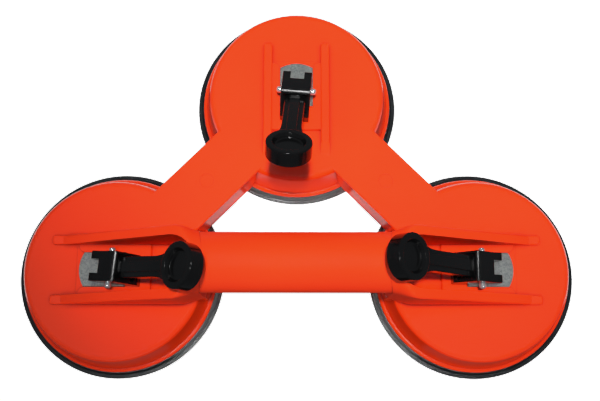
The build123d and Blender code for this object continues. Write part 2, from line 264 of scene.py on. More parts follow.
@dataclass(frozen=True)
class MouldedPlastic:
    """Moulded plastic with a faint flow pattern, rounded edges lightened by a painted highlight, painted shade in
    inner corners and light scuffs.
    """

    name: str
    colour: Colour
    shade: Colour
    # Painted highlight: a lighter colour mixed in along edges, and its share.
    edge_highlight_colour: Colour
    edge_highlight_share: float
    roughness: float
    scuff_roughness: float
    edge_radius: float
    polish: float
    # Painted shade: a darker colour mixed in at inner corners, its share and its reach.
    corner_shade_colour: Colour
    corner_shade_share: float
    corner_shade_reach: float = 3.4 * MM
    ior: float = 1.5
    polish_height: float = 25.2 * MM
    polish_fade: float = 1.0 * MM
    flow_grain: float = 55 * MM
    flow_range: Pair = (0.35, 0.7)
    skin_grain: float = 0.9 * MM
    skin_depth: float = 0.006 * MM
    scuff_grain: float = 7 * MM
    scuff_range: Pair = (0.55, 0.75)
    scuff_turn: float = 0.6
    scuff_stretch: float = 9.0

    def make(self) -> bpy.types.Material:
        """Build the material.

        Returns:
            The material.
        """
        bench = ShaderBench.of_material(self.name)
        flow = bench.between(bench.noise(self.flow_grain, detail=2.0), *self.flow_range)
        base = bench.mix(flow, self.colour, self.shade)
        # Painted highlight: edges are lightened towards the highlight colour.
        edge = bench.edges(self.edge_radius)
        base = bench.mix(edge * self.edge_highlight_share, base, self.edge_highlight_colour)
        # Painted shade: inner corners are darkened where an ambient occlusion mask finds them shut in.
        hollow = bench.corner_shade_mask(self.corner_shade_reach)
        base = bench.mix(hollow * self.corner_shade_share, base, self.corner_shade_colour)
        turn, stretch = (0.0, 0.0, self.scuff_turn), (1.0, self.scuff_stretch, 1.0)
        streak = bench.node("Mapping", Vector=bench.place(), Rotation=turn, Scale=stretch)
        scuff = bench.noise(self.scuff_grain, detail=6.0, place=streak)
        scuff = bench.between(scuff, *self.scuff_range)
        rough = self.roughness + scuff * (self.scuff_roughness - self.roughness)
        height = bench.node("SeparateXYZ", outlet="Z", Vector=bench.place())
        faded = self.polish_height + self.polish_fade
        rough = rough * bench.between(height, self.polish_height, faded, self.polish, 1.0)
        skin = bench.noise(self.skin_grain, detail=2.0)
        normal = bench.bump(skin, self.skin_depth, bench.rounded_normal(self.edge_radius))
        return bench.surface(Base_Color=base, Roughness=rough, Normal=normal, IOR=self.ior)


@dataclass(frozen=True)
class CupRubber:
    """Black rubber with a dusty bloom and a fine grain."""

    name: str = "black_rubber"
    colour: Colour = (0.004, 0.0045, 0.005)
    bloom: Colour = (0.009, 0.010, 0.011)
    roughness: float = 0.28
    bloom_roughness: float = 0.42
    bloom_grain: float = 16 * MM
    bloom_range: Pair = (0.42, 0.72)
    skin_grain: float = 0.5 * MM
    skin_depth: float = 0.012 * MM
    ior: float = 1.9

    def make(self) -> bpy.types.Material:
        """Build the material.

        Returns:
            The material.
        """
        bench = ShaderBench.of_material(self.name)
        bloom = bench.between(bench.noise(self.bloom_grain, detail=5.0), *self.bloom_range)
        base = bench.mix(bloom, self.colour, self.bloom)
        rough = self.roughness + bloom * (self.bloom_roughness - self.roughness)
        normal = bench.bump(bench.noise(self.skin_grain), self.skin_depth)
        return bench.surface(Base_Color=base, Roughness=rough, Normal=normal, IOR=self.ior)


@dataclass(frozen=True)
class Zinc:
    """Galvanised steel with a fine grey spangle."""

    name: str = "galvanised_steel"
    dark: Colour = (0.20, 0.22, 0.22)
    light: Colour = (0.48, 0.50, 0.48)
    spangle: float = 1.1 * MM
    spangle_share: float = 0.45
    speck: float = 0.45 * MM
    speck_share: float = 0.55
    speck_range: Pair = (0.35, 0.7)
    metallic: float = 0.85
    roughness: float = 0.42
    roughness_spread: float = 0.15
    depth: float = 0.02 * MM

    def make(self) -> bpy.types.Material:
        """Build the material.

        Returns:
            The material.
        """
        bench = ShaderBench.of_material(self.name)
        scale = 1 / self.spangle
        cells = bench.node("TexVoronoi", outlet="Color", Vector=bench.place(), Scale=scale)
        tone = bench.node("SeparateColor", outlet="Red", Color=cells)
        speck = bench.between(bench.noise(self.speck, detail=4.0), *self.speck_range)
        shade = tone * self.spangle_share + speck * self.speck_share
        base = bench.mix(shade, self.dark, self.light)
        rough = self.roughness + shade * self.roughness_spread
        normal = bench.bump(speck, self.depth)
        return bench.surface(
            Base_Color=base, Metallic=self.metallic, Roughness=rough, Normal=normal
        )


@dataclass(frozen=True)
class BrightSteel:
    """Bright steel with fine marks in its surface."""

    name: str = "bright_steel"
    dark: Colour = (0.50, 0.51, 0.53)
    light: Colour = (0.80, 0.81, 0.82)
    grain: float = 0.35 * MM
    mark_range: Pair = (0.3, 0.7)
    metallic: float = 0.8
    roughness: float = 0.16
    roughness_spread: float = 0.16
    depth: float = 0.004 * MM

    def make(self) -> bpy.types.Material:
        """Build the material.

        Returns:
            The material.
        """
        bench = ShaderBench.of_material(self.name)
        marks = bench.noise(self.grain, detail=4.0)
        base = bench.mix(bench.between(marks, *self.mark_range), self.dark, self.light)
        rough = self.roughness + marks * self.roughness_spread
        normal = bench.bump(marks, self.depth)
        return bench.surface(
            Base_Color=base, Metallic=self.metallic, Roughness=rough, Normal=normal
        )


@dataclass(frozen=True)
class Glow:
    """Matt surface that gives off white light by itself."""

    name: str
    colour: Colour
    strength: float
    cloud_grain: float = 0.4
    cloud_range: Pair = (0.3, 0.7)
    tone_range: Pair = (0.985, 1.0)
    roughness: float = 0.8

    def make(self) -> bpy.types.Material:
        """Build the material.

        Returns:
            The material.
        """
        bench = ShaderBench.of_material(self.name)
        cloud = bench.noise(self.cloud_grain, detail=2.0)
        tone = bench.between(cloud, *self.cloud_range, *self.tone_range)
        base = bench.mix(tone, NO_COLOUR, self.colour)
        return bench.surface(
            Base_Color=base,
            Roughness=self.roughness,
            Emission_Color=WHITE,
            Emission_Strength=self.strength,
        )


ORANGE = MouldedPlastic(
    name="orange_plastic",
    colour=(0.87, 0.035, 0.002),
    shade=(0.84, 0.030, 0.0015),
    # Painted highlight along edges.
    edge_highlight_colour=(0.95, 0.12, 0.04),
    edge_highlight_share=0.25,
    roughness=0.60,
    scuff_roughness=0.68,
    edge_radius=0.5 * MM,
    polish=0.35,
    # Painted shade in inner corners.
    corner_shade_colour=(0.30, 0.008, 0.002),
    corner_shade_share=0.85,
)
BLACK = MouldedPlastic(
    name="black_plastic",
    colour=(0.0025, 0.0026, 0.0028),
    shade=(0.004, 0.004, 0.0043),
    # Painted highlight along edges.
    edge_highlight_colour=(0.012, 0.012, 0.013),
    edge_highlight_share=0.5,
    roughness=0.15,
    scuff_roughness=0.24,
    edge_radius=0.3 * MM,
    polish=1.0,
    # Painted shade in inner corners.
    corner_shade_colour=(0.001, 0.001, 0.001),
    corner_shade_share=0.5,
    ior=1.42,
)


class Finishes:
    """One material for each slot of the record."""

    def __init__(self) -> None:
        """Build every material once."""
        self.by_slot = {
            Slot.BODY: ORANGE.make(),
            Slot.LEVER: BLACK.make(),
            Slot.RUBBER: CupRubber().make(),
            Slot.ZINC: Zinc().make(),
            Slot.STEEL: BrightSteel().make(),
        }

    def dress(self, piece: bpy.types.Object, slot: Slot) -> None:
        """Give a piece its one material."""
        piece.data.materials.clear()
        piece.data.materials.append(self.by_slot[slot])

    def dress_nodes(self) -> None:
        """Give every CAD node the material of its slot."""
        for row in frame["record"]["subparts"]:
            self.dress(frame["nodes"][row["node"]], Slot(row["material_slot"]))
            log.info("node %s: %s", row["node"], row["material_slot"])


def clear_selection() -> None:
    """Deselect every object."""
    bpy.ops.object.select_all(action="DESELECT")


def choose(piece: bpy.types.Object) -> None:
    """Select one piece alone and make it active.

    Args:
        piece: The piece.
    """
    clear_selection()
    piece.select_set(True)
    bpy.context.view_layer.objects.active = piece


def take(name: str) -> bpy.types.Object:
    """Name the piece that was just added.

    Args:
        name: Its name.

    Returns:
        The piece.
    """
    piece = bpy.context.active_object
    piece.name = name
    return piece


def remove(piece: bpy.types.Object) -> None:
    """Delete a piece."""
    choose(piece)
    bpy.ops.object.delete()


@contextmanager
def editing(piece: bpy.types.Object) -> Iterator[None]:
    """Keep a piece open in edit mode.

    Args:
        piece: The piece to edit.

    Yields:
        Nothing.
    """
    choose(piece)
    bpy.ops.object.mode_set(mode="EDIT")
    try:
        yield
    finally:
        bpy.ops.object.mode_set(mode="OBJECT")


def face_outwards() -> None:
    """Merge doubles and turn all faces of the piece in edit mode outwards."""
    bpy.ops.mesh.select_all(action="SELECT")
    bpy.ops.mesh.remove_doubles(threshold=MERGE)
    bpy.ops.mesh.normals_make_consistent(inside=False)


def settle(piece: bpy.types.Object, place: Matrix | None = None) -> None:
    """Move a piece and put its place into its mesh.

    Args:
        piece: The piece.
        place: Where it goes, on top of where it is.
    """
    choose(piece)
    bpy.context.view_layer.update()
    if place is not None:
        piece.matrix_world = place @ piece.matrix_world
    bpy.ops.object.transform_apply(location=True, rotation=True, scale=True)


def turned(name: str, rings: Sequence[Pair], segments: int) -> bpy.types.Object:
    """Model a turned piece about Z: a disc whose edge is extruded from ring to ring, then closed.

    Args:
        name: Name of the piece.
        rings: Radius and height of each ring.
        segments: Steps round the piece.

    Returns:
        The piece.
    """
    clear_selection()
    radius, height = rings[0]
    bpy.ops.mesh.primitive_circle_add(
        vertices=segments, radius=radius, fill_type="NGON", location=(0, 0, height)
    )
    piece = take(name)
    with editing(piece):
        bpy.ops.mesh.select_mode(type="EDGE")
        bpy.ops.mesh.select_all(action="SELECT")
        for next_radius, next_height in rings[1:]:
            step = (0, 0, next_height - height)
            bpy.ops.mesh.extrude_edges_move(TRANSFORM_OT_translate={"value": step})
            share = next_radius / radius
            middle = (0, 0, next_height)
            bpy.ops.transform.resize(value=(share, share, 1), center_override=middle)
            radius, height = next_radius, next_height
        bpy.ops.mesh.edge_face_add()
        face_outwards()
    settle(piece)
    return piece


def drawn(name: str, outline: Sequence[Pair], low: float, high: float) -> bpy.types.Object:
    """Model a slab: an outline drawn point by point in the X, Z plane and extruded along Y.

    Args:
        name: Name of the piece.
        outline: Corners in order, as X and Z.
        low: Y of one side.
        high: Y of the other side.

    Returns:
        The piece.
    """
    clear_selection()
    bpy.ops.mesh.primitive_plane_add(size=MM)
    piece = take(name)
    with editing(piece):
        bpy.ops.mesh.select_mode(type="VERT")
        bpy.ops.mesh.select_all(action="SELECT")
        bpy.ops.mesh.merge(type="CENTER")
        bpy.ops.transform.translate(value=(outline[0][0], low, outline[0][1]))
        for before, after in zip(outline, outline[1:]):
            step = (after[0] - before[0], 0, after[1] - before[1])
            bpy.ops.mesh.extrude_vertices_move(TRANSFORM_OT_translate={"value": step})
        mesh = bmesh.from_edit_mesh(piece.data)
        mesh.verts.ensure_lookup_table()
        mesh.verts[0].select_set(True)
        mesh.verts[-1].select_set(True)
        bmesh.update_edit_mesh(piece.data)
        bpy.ops.mesh.edge_face_add()
        bpy.ops.mesh.select_all(action="SELECT")
        bpy.ops.mesh.edge_face_add()
        across = (0, high - low, 0)
        bpy.ops.mesh.extrude_region_move(TRANSFORM_OT_translate={"value": across})
        face_outwards()
    return piece


def boxed(name: str, low: Point, high: Point) -> bpy.types.Object:
    """Model a plain block to cut with.

    Args:
        name: Name of the piece.
        low: Its lowest corner.
        high: Its highest corner.

    Returns:
        The piece.
    """
    clear_selection()
    middle = [(a + b) / 2 for a, b in zip(low, high)]
    size = [b - a for a, b in zip(low, high)]
    bpy.ops.mesh.primitive_cube_add(size=1, location=middle, scale=size)
    piece = take(name)
    settle(piece)
    return piece


def rod(name: str, radius: float, half_length: float, segments: int = 48) -> bpy.types.Object:
    """Model a plain rod along Y through the origin, to cut with.

    Args:
        name: Name of the piece.
        radius: Its radius.
        half_length: Its length to either side.
        segments: Steps round it.

    Returns:
        The piece.
    """
    clear_selection()
    bpy.ops.mesh.primitive_cylinder_add(
        vertices=segments, radius=radius, depth=2 * half_length, rotation=(pi / 2, 0, 0)
    )
    piece = take(name)
    settle(piece)
    return piece


def apply_modifier(piece: bpy.types.Object, kind: str, **settings: object) -> None:
    """Add a modifier and apply it.

    Args:
        piece: The piece that it changes.
        kind: Type of the modifier.
        settings: Its properties.
    """
    choose(piece)
    bpy.ops.object.modifier_add(type=kind)
    modifier = piece.modifiers[-1]
    for key, value in settings.items():
        setattr(modifier, key, value)
    bpy.ops.object.modifier_apply(modifier=modifier.name)


def combine(piece: bpy.types.Object, other: bpy.types.Object, mode: Mode) -> None:
    """Cut a piece by another, or join them, and remove the other."""
    apply_modifier(piece, "BOOLEAN", object=other, operation=mode.value, solver="EXACT")
    remove(other)


def soften(piece: bpy.types.Object, width: float, segments: int = 3, angle: float = 40.0) -> None:
    """Round every edge sharper than an angle in degrees."""
    limit = {"limit_method": "ANGLE", "angle_limit": radians(angle)}
    apply_modifier(piece, "BEVEL", width=width, segments=segments, **limit)


def smooth(piece: bpy.types.Object, angle: float = 30.0) -> None:
    """Shade a piece smoothly except over sharp edges, with large faces kept flat.

    Args:
        piece: The piece.
        angle: Degrees from which an edge is sharp.
    """
    with editing(piece):
        face_outwards()
    choose(piece)
    bpy.ops.object.shade_smooth_by_angle(angle=radians(angle))
    apply_modifier(piece, "WEIGHTED_NORMAL", keep_sharp=True)


def copied(piece: bpy.types.Object, name: str, place: Matrix) -> bpy.types.Object:
    """Copy a piece with a mesh of its own.

    Args:
        piece: The piece.
        name: Name of the copy.
        place: Where the copy goes.

    Returns:
        The copy.
    """
    choose(piece)
    bpy.ops.object.duplicate()
    copy = take(name)
    settle(copy, place)
    return copy


@dataclass(frozen=True)
class Cup:
    """Where one of the three cups is, read from its lever's hinge."""

    name: str
    pivot: Vector
    across: Vector
    throw: float
    lift: float

    @classmethod
    def all(cls) -> "list[Cup]":
        """Read the three cups from the frame's joints.

        Returns:
            The left, right and top cup.
        """
        joints = {joint["name"]: joint for joint in frame["joints"]}
        cups = []
        for name in ("left", "right", "top"):
            hinge = joints[f"lever_throw_{name}"]
            pivot, across = Vector(hinge["pos_m"]), Vector(hinge["axis"])
            throw = radians(hinge["range_deg"][1])
            lift = joints[f"stem_lift_{name}"]["range_m"][1]
            cups.append(cls(name, pivot, across, throw, lift))
        return cups

    def turn(self) -> float:
        """Angle of the lever's outward direction about Z."""
        return atan2(-self.across.x, self.across.y)

    def on_pin(self) -> Matrix:
        """Place of what was modelled about the pin."""
        return Matrix.Translation(self.pivot) @ Matrix.Rotation(self.turn(), 4, "Z")

    def outwards(self) -> float:
        """Angle of the cup itself, which is the lever's to the nearest quarter turn."""
        return round(self.turn() / (pi / 2)) * pi / 2

    def on_floor(self) -> Matrix:
        """Place of what was modelled about the cup's foot."""
        foot = Matrix.Translation((self.pivot.x, self.pivot.y, 0))
        return foot @ Matrix.Rotation(self.outwards(), 4, "Z")


@dataclass(frozen=True)
class Lever:
    """Cam lever, modelled about its pin with X outwards, Y across and Z up."""

    reach: float
    rise: float
    throw: float
    half: float = 8.4 * MM
    pin_hole: float = 1.95 * MM
    toe_top: float = 3.8 * MM
    brow: Pair = (6.0 * MM, 5.3 * MM)
    ridge: Pair = (-4.5 * MM, 12.4 * MM)
    crown_radius: float = 7.0 * MM
    crown_lean: float = 7.0
    crown_spread: float = 8.0
    heel: Pair = (-16.5 * MM, 2.0 * MM)
    slot_half: float = 4.0 * MM
    slot_bottom: float = 5.5 * MM
    stem_room: float = 3.6 * MM
    eye_room: float = 5.2 * MM
    pocket_ends: Pair = (-14.6 * MM, -6.1 * MM)
    pocket_floor: Pair = (1.2 * MM, 7.4 * MM)
    pocket_sides: Pair = (2.6 * MM, 7.1 * MM)
    arm_angle: float = 43.5
    arm_start: float = 6.0 * MM
    arm_half: Pair = (6.0 * MM, 5.6 * MM)
    arm_heights: Pair = (-3.9 * MM, 2.2 * MM)
    arm_flare: float = 26.0 * MM
    rib_half: Pair = (3.1 * MM, 2.7 * MM)
    rib_top: float = 3.4 * MM
    rib_flare: float = 1.0 * MM
    neck_end: float = 38.0 * MM
    knob_centre: float = 64.0 * MM
    knob_radius: float = 12.3 * MM
    knob_half: float = 4.4 * MM
    knob_round: float = 0.8 * MM
    knob_skin: float = 0.25 * MM
    knob_back: float = 0.2
    dish_radius: float = 8.8 * MM
    dish_depth: float = 3.0 * MM
    dish_foot: float = 7.9 * MM
    dish_fillet: float = 1.1 * MM
    dish_wall: float = 0.3 * MM
    dish_break: float = 0.3
    dish_middle: float = 0.06
    edge: float = 0.45 * MM
    edge_steps: int = 4
    cam_steps: int = 12
    crown_steps: int = 4
    fillet_steps: int = 6
    round_steps: int = 6
    flare_steps: int = 8
    knob_segments: int = 96
    crease: float = 25.0

    def cam(self) -> list[Pair]:
        """Find the points of the toe that bear on the plate in turn, at an even rise.

        Returns:
            Points as X and Z.
        """
        points = []
        for step in range(self.cam_steps + 1):
            angle = self.throw * step / self.cam_steps
            reach = self.reach + self.rise * angle
            x = reach * sin(angle) + self.rise * cos(angle)
            points.append((x, self.rise * sin(angle) - reach * cos(angle)))
        return points

    def crown(self) -> list[Pair]:
        """Find the points of the ridge's narrow top, which leans inwards a little.

        Returns:
            Points as X and Z.
        """
        x, z = self.ridge
        points = []
        for step in range(self.crown_steps + 1):
            share = 2 * step / self.crown_steps - 1
            lean = radians(self.crown_lean + self.crown_spread * share)
            shift = sin(lean) - sin(radians(self.crown_lean))
            drop = self.crown_radius * (1 - cos(lean))
            points.append((x - self.crown_radius * shift, z - drop))
        return points

    def foot(self) -> bpy.types.Object:
        """Model the heel, ridge, brow and forked toe.

        Returns:
            The piece.
        """
        cam = self.cam()
        outline = [
            (self.heel[0], cam[0][1]),
            *cam,
            (cam[-1][0], self.toe_top),
            self.brow,
            *self.crown(),
            self.heel,
        ]
        foot = drawn("lever_foot", outline, -self.half, self.half)
        soften(foot, self.edge, self.edge_steps)
        far, side = 4 * self.half, self.slot_half
        slot = boxed("slot", (self.slot_bottom, -side, -far), (far, side, far))
        combine(foot, slot, Mode.CUT)
        tunnel = boxed("tunnel", (-self.stem_room, -side, -far), (far, side, self.stem_room))
        combine(foot, tunnel, Mode.CUT)
        combine(foot, rod("eye", self.eye_room, side), Mode.CUT)
        for cheek in (-1, 1):
            combine(foot, self.pocket(cheek), Mode.CUT)
        return foot

    def pocket(self, cheek: int) -> bpy.types.Object:
        """Model the block that cuts the hollow between the arm and one cheek of the heel.

        Args:
            cheek: -1 or 1 for the side across.

        Returns:
            The block.
        """
        (inner, outer), (low, high) = self.pocket_ends, self.pocket_floor
        above = 2 * self.ridge[1]
        outline = [(inner, low), (outer, high), (outer, above), (inner, above)]
        return drawn("pocket", outline, *sorted(cheek * edge for edge in self.pocket_sides))

    def neck_side(self, halves: Pair, flare: float) -> list[Pair]:
        """Draw one long side of a bar of the arm.

        It is straight, then flares into the knob and goes on round inside its rim.

        Args:
            halves: Half widths at the start and at the neck's end.
            flare: Radius of the hollow curve into the knob.

        Returns:
            Points from the start of the bar to the middle of the rim.
        """
        wide, slim = halves
        skin = self.knob_radius - self.knob_skin
        inside = (skin + self.dish_radius + self.dish_wall) / 2
        back = sqrt((skin + flare) ** 2 - (slim + flare) ** 2)
        turn = atan2(slim + flare, back)
        centre = (self.knob_centre - back, slim + flare)
        points = [(self.arm_start, wide), (self.neck_end, slim)]
        for step in range(self.flare_steps + 1):
            angle = -pi / 2 + (pi / 2 - turn) * step / self.flare_steps
            points.append((centre[0] + flare * cos(angle), centre[1] + flare * sin(angle)))
        for step in range(self.flare_steps):
            angle = turn * (1 - step / self.flare_steps)
            points.append((self.knob_centre - inside * cos(angle), inside * sin(angle)))
        return points

    def bar(self, name: str, halves: Pair, heights: Pair, flare: float) -> bpy.types.Object:
        """Model a tapered bar along the arm, from near the pin to the knob's rim.

        Args:
            name: Name of the piece.
            halves: Half widths at the start and at the neck's end.
            heights: Its underside and top, square to the arm.
            flare: Radius of the hollow curve into the knob.

        Returns:
            The piece, lying along X with Z square to the arm.
        """
        side = self.neck_side(halves, flare)
        outline = [(x, -y) for x, y in side] + side[::-1]
        bar = drawn(name, outline, -heights[1], -heights[0])
        settle(bar, Matrix.Rotation(-pi / 2, 4, "X"))
        soften(bar, 2 * self.edge, self.edge_steps)
        return bar

    def knob(self) -> bpy.types.Object:
        """Model the round knob with a flat-bottomed dish in its face, about Z.

        Returns:
            The piece.
        """
        top, wall, inner, bend = self.knob_half, self.dish_wall, self.dish_radius, self.knob_round
        floor, hollow = top - self.dish_depth, self.dish_fillet
        rings = [(inner * self.dish_middle, floor)]
        for step in range(self.fillet_steps + 1):
            angle = pi / 2 * step / self.fillet_steps
            radius = self.dish_foot - hollow * (1 - sin(angle))
            rings.append((radius, floor + hollow * (1 - cos(angle))))
        rings.append((inner, top - wall))
        rings.append((inner + wall * self.dish_break, top - wall * self.dish_break))
        rings.append((inner + wall, top))
        angles = [pi / 2 * (1 - step / self.round_steps) for step in range(self.round_steps + 1)]
        for side in (1, -1):
            radius, height = self.knob_radius - bend, side * (top - bend)
            for angle in angles[::side]:
                rings.append((radius + bend * cos(angle), height + side * bend * sin(angle)))
        rings.append((inner * self.knob_back, -top))
        return turned("lever_knob", rings, self.knob_segments)

    def build(self) -> bpy.types.Object:
        """Model the whole lever once, at the origin.

        Returns:
            The lever.
        """
        arm = self.bar("lever_arm", self.arm_half, self.arm_heights, self.arm_flare)
        rib = self.bar("lever_rib", self.rib_half, (0.0, self.rib_top), self.rib_flare)
        combine(arm, rib, Mode.JOIN)
        knob = self.knob()
        settle(knob, Matrix.Translation((self.knob_centre, 0, 0)))
        combine(arm, knob, Mode.JOIN)
        lean = Matrix.Rotation(radians(self.arm_angle) - pi, 4, "Y")
        settle(arm, lean @ Matrix.Rotation(pi, 4, "X"))
        lever = self.foot()
        combine(lever, arm, Mode.JOIN)
        combine(lever, rod("pin_hole", self.pin_hole, 2 * self.half), Mode.CUT)
        smooth(lever, self.crease)
        return lever


@dataclass(frozen=True)
class PivotPin:
    """Steel pin with domed ends, along Y through the origin."""

    radius: float = 1.9 * MM
    half: float = 11.5 * MM
    dome: float = 1.2 * MM
    steps: int = 5
    segments: int = 48

    def build(self) -> bpy.types.Object:
        """Model the pin once.

        Returns:
            The pin.
        """
        core, start = self.radius - self.dome, self.half - self.dome
        angles = [pi / 2 * step / self.steps for step in range(self.steps + 1)]
        end = [(core + self.dome * sin(a), start + self.dome * cos(a)) for a in angles]
        rings = end + [(radius, -height) for radius, height in reversed(end)]
        pin = turned("pivot_pin", rings, self.segments)
        settle(pin, Matrix.Rotation(pi / 2, 4, "X"))
        smooth(pin)
        return pin


@dataclass(frozen=True)
class WearPlate:
    """Galvanised plate with one bowed end, about the cup's middle."""

    low: float
    high: float
    half: float
    inner: float
    outer: float
    bow: float = 2.7 * MM
    hole: float = 3.4 * MM
    edge: float = 0.3 * MM
    steps: int = 10

    def build(self) -> bpy.types.Object:
        """Model the plate once.

        Returns:
            The plate.
        """
        radius = (self.half**2 + self.bow**2) / (2 * self.bow)
        spread = atan2(self.half, radius - self.bow)
        turns = [spread * (2 * step / self.steps - 1) for step in range(self.steps + 1)]
        arc = [(self.outer - radius + radius * cos(a), radius * sin(a)) for a in turns]
        outline = [(self.inner, -self.half), *arc, (self.inner, self.half)]
        plate = drawn("wear_plate", outline, -self.high, -self.low)
        settle(plate, Matrix.Rotation(-pi / 2, 4, "X"))
        soften(plate, self.edge)
        hole = rod("stem_hole", self.hole, 2 * self.high)
        settle(hole, Matrix.Rotation(pi / 2, 4, "X"))
        combine(plate, hole, Mode.CUT)
        smooth(plate)
        return plate


@dataclass(frozen=True)
class RubberCup:
    """Rubber cup, about its own foot."""

    radius: float
    hub_top: float
    rivet_room: float = 5.3 * MM
    disc_room: float = 25.3 * MM
    disc_floor: float = 10.2 * MM
    rivet_floor: float = 8.6 * MM
    hub: float = 28.0 * MM
    hub_foot: float = 32.0 * MM
    shelf: float = 57.4 * MM
    shelf_top: float = 4.2 * MM
    slope_foot: Pair = (58.4 * MM, 1.4 * MM)
    slope_shares: tuple[float, ...] = (0.35, 0.7, 1.0)
    lip: Pair = (1.2 * MM, 0.9 * MM)
    grooves: Pair = (54.0 * MM, 49.5 * MM)
    groove_width: float = 1.6 * MM
    groove_depth: float = 0.9 * MM
    seal_inner: float = 46.0 * MM
    dish: float = 2.8 * MM
    dish_shoulder: float = 0.8
    edge: float = 0.3 * MM
    edge_steps: int = 2
    segments: int = 144

    def rings(self) -> list[Pair]:
        """List the rings from the rivet's room over the rim to the underside.

        Returns:
            Radius and height of every ring.
        """
        top = [
            (self.rivet_room, self.rivet_floor),
            (self.rivet_room, self.disc_floor),
            (self.disc_room, self.disc_floor),
            (self.disc_room, self.hub_top),
            (self.hub, self.hub_top),
            (self.hub_foot, self.shelf_top),
            (self.shelf, self.shelf_top),
        ]
        foot, foot_height = self.slope_foot
        slope = []
        for share in self.slope_shares:
            bow = (foot - self.shelf) * share * share
            drop = (foot_height - self.shelf_top) * share
            slope.append((self.shelf + bow, self.shelf_top + drop))
        rim = [(foot, self.lip[0]), (self.radius, self.lip[1]), (self.radius, 0)]
        seal = []
        for inner in self.grooves:
            outer, depth = inner + self.groove_width, self.groove_depth
            seal += [(outer, 0), (outer, depth), (inner, depth), (inner, 0)]
        shoulder = (self.hub, self.dish_shoulder * self.dish)
        under = [(self.seal_inner, 0), shoulder, (self.rivet_room, self.dish)]
        return top + slope + rim + seal + under

    def build(self) -> bpy.types.Object:
        """Model the cup once.

        Returns:
            The cup.
        """
        cup = turned("rubber_cup", self.rings(), self.segments)
        soften(cup, self.edge, self.edge_steps)
        smooth(cup)
        return cup


@dataclass
class Lifter:
    """All dressed pieces of the lifter."""

    finishes: Finishes
    clearance: float = 0.15 * MM
    rim_swell: float = 0.6 * MM
    stretch: Pair = (5.2 * MM, 12.4 * MM)

    def build(self) -> None:
        """Model each kind of piece once and copy it to the three cups."""
        cups = Cup.all()
        plate_low, plate_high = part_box("wear_plate_right")
        first = next(cup for cup in cups if cup.name == "right")
        patterns = {
            "lever": self.lever(plate_high, first).build(),
            "pivot_pin": PivotPin().build(),
            "wear_plate": self.plate(plate_low, plate_high, first).build(),
            "rubber_cup": self.rubber().build(),
        }
        for cup in cups:
            self.fit(patterns, cup)
        for pattern in patterns.values():
            remove(pattern)

    def lever(self, plate_high: Vector, cup: Cup) -> Lever:
        """Lever that stands just over the wear plate and lifts as its joint says."""
        pin_height = cup.pivot.z - plate_high.z
        return Lever(pin_height - self.clearance, cup.lift / cup.throw, cup.throw)

    @staticmethod
    def plate(low: Vector, high: Vector, cup: Cup) -> WearPlate:
        """Wear plate to the CAD plate's own box."""
        half, middle = (high.y - low.y) / 2, cup.pivot.x
        return WearPlate(low.z, high.z, half, low.x - middle, high.x - middle)

    def rubber(self) -> RubberCup:
        """Rubber cup to the CAD cup's own box, with a slightly wider lip."""
        low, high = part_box("rubber_cup_right")
        return RubberCup((high.x - low.x) / 2 + self.rim_swell, high.z)

    def fit(self, patterns: dict[str, bpy.types.Object], cup: Cup) -> None:
        """Copy the pieces of one cup to their places and let them ride.

        Args:
            patterns: The modelled pieces by kind.
            cup: The cup that they go to.
        """
        lever = copied(patterns["lever"], f"cam_lever_{cup.name}", cup.on_pin())
        self.add(lever, Slot.LEVER, "throw", "lever", cup)
        pin = copied(patterns["pivot_pin"], f"lever_pin_{cup.name}", cup.on_pin())
        self.add(pin, Slot.STEEL, "lift", "pivot_pin", cup)
        plate = copied(patterns["wear_plate"], f"zinc_plate_{cup.name}", cup.on_floor())
        self.add(plate, Slot.ZINC, None, "wear_plate", cup)
        rubber = copied(patterns["rubber_cup"], f"suction_cup_{cup.name}", cup.on_floor())
        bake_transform(rubber)
        self.add(rubber, Slot.RUBBER, "blend", "rubber_cup", cup)

    def add(
        self, piece: bpy.types.Object, slot: Slot, body: str | None, node: str, cup: Cup
    ) -> None:
        """Dress a piece, hide the CAD node that it stands for and, unless it is settled, attach it to the body
        that it moves with.

        Args:
            piece: The piece in its place.
            slot: Material slot of its finish.
            body: First word of the body that it rides on, None for the root, "blend" if settled.
            node: First words of the CAD node that it stands for.
            cup: The cup that it belongs to.
        """
        self.finishes.dress(piece, slot)
        if body != "blend":
            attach(piece, f"{body}_{cup.name}" if body else "root")
        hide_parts(f"{node}_{cup.name}")
        log.info("piece %s: %d faces", piece.name, len(piece.data.polygons))


def light_only(lamp: bpy.types.Object, pieces: Sequence[str]) -> None:
    """Let a lamp or card reach some pieces only.

    Args:
        lamp: The lamp or card.
        pieces: Names of the pieces.
    """
    lit = bpy.data.collections.new(f"lit_by_{lamp.name}")
    for piece in pieces:
        lit.objects.link(bpy.data.objects[piece])
    lamp.light_linking.receiver_collection = lit


@dataclass(frozen=True)
class Card:
    """Flat glowing card on the floor, unseen by the camera, that is mirrored or gives light."""

    name: str
    size: Pair
    middle: Point
    glow: float
    turn: float = 0.0
    mirrored: bool = True

    def lay(self) -> bpy.types.Object:
        """Model the card in its place.

        Returns:
            The card.
        """
        clear_selection()
        bpy.ops.mesh.primitive_plane_add(size=1)
        card = take(self.name)
        place = Matrix.Translation(self.middle) @ Matrix.Rotation(self.turn, 4, "Z")
        settle(card, place @ Matrix.Diagonal((*self.size, 1, 1)))
        card.data.materials.append(Glow(card.name, NO_COLOUR, self.glow).make())
        card.visible_camera = False
        card.visible_shadow = False
        card.visible_diffuse = not self.mirrored
        card.visible_glossy = self.mirrored
        return card


@dataclass(frozen=True)
class Glint:
    """Small lamp that lights nothing but what mirrors it."""

    name: str
    place: Point
    radius: float
    power: float

    def hang(self) -> bpy.types.Object:
        """Hang the lamp.

        Returns:
            The lamp.
        """
        bpy.ops.object.light_add(type="POINT", location=self.place)
        lamp = take(self.name)
        lamp.data.shadow_soft_size = self.radius
        lamp.data.energy = self.power
        lamp.visible_diffuse = False
        return lamp


